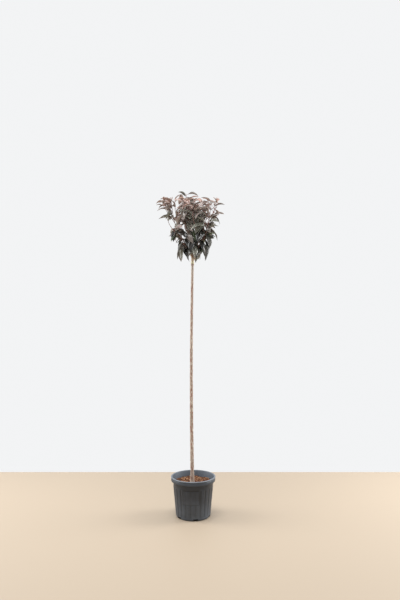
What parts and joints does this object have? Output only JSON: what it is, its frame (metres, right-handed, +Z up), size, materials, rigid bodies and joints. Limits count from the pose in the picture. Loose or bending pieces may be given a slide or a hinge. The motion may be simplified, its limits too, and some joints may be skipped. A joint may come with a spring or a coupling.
{
  "type": "potted half-standard purple-leaved cherry tree",
  "caption": "Slender grafted ornamental tree with a straight stem and an upright, purple-bronze leafy crown, growing in a ribbed round nursery pot.",
  "frame": {"origin": "centre of the pot's flat underside", "axes": "+Z up, -Y the front that the picture shows, +X to the picture's right"},
  "size_m": [0.424, 0.3727, 2.1666],
  "materials": {
    "pot": "moulded charcoal-grey plastic, slightly satin",
    "soil": "coarse, dry potting mix of bark and coconut chips",
    "bark": "smooth grey-brown bark with pale pores",
    "foliage": "satin leaves, dark purple when old and bronze when young"
  },
  "bodies": {
    "root": {"pot": "pot", "soil": "soil", "trunk": "bark", "bough_left": "bark", "bough_front_left": "bark", "bough_front_right": "bark", "bough_right": "bark", "bough_back_right": "bark", "bough_back_left": "bark", "bough_top": "bark", "foliage_left": "foliage", "foliage_front_left": "foliage", "foliage_front_right": "foliage", "foliage_right": "foliage", "foliage_back_right": "foliage", "foliage_back_left": "foliage", "foliage_top": "foliage", "foliage_low_left": "foliage", "foliage_low_front": "foliage", "foliage_low_right": "foliage", "foliage_low_back_right": "foliage", "foliage_low_back": "foliage", "foliage_low_back_left": "foliage"}
  },
  "joints": []
}
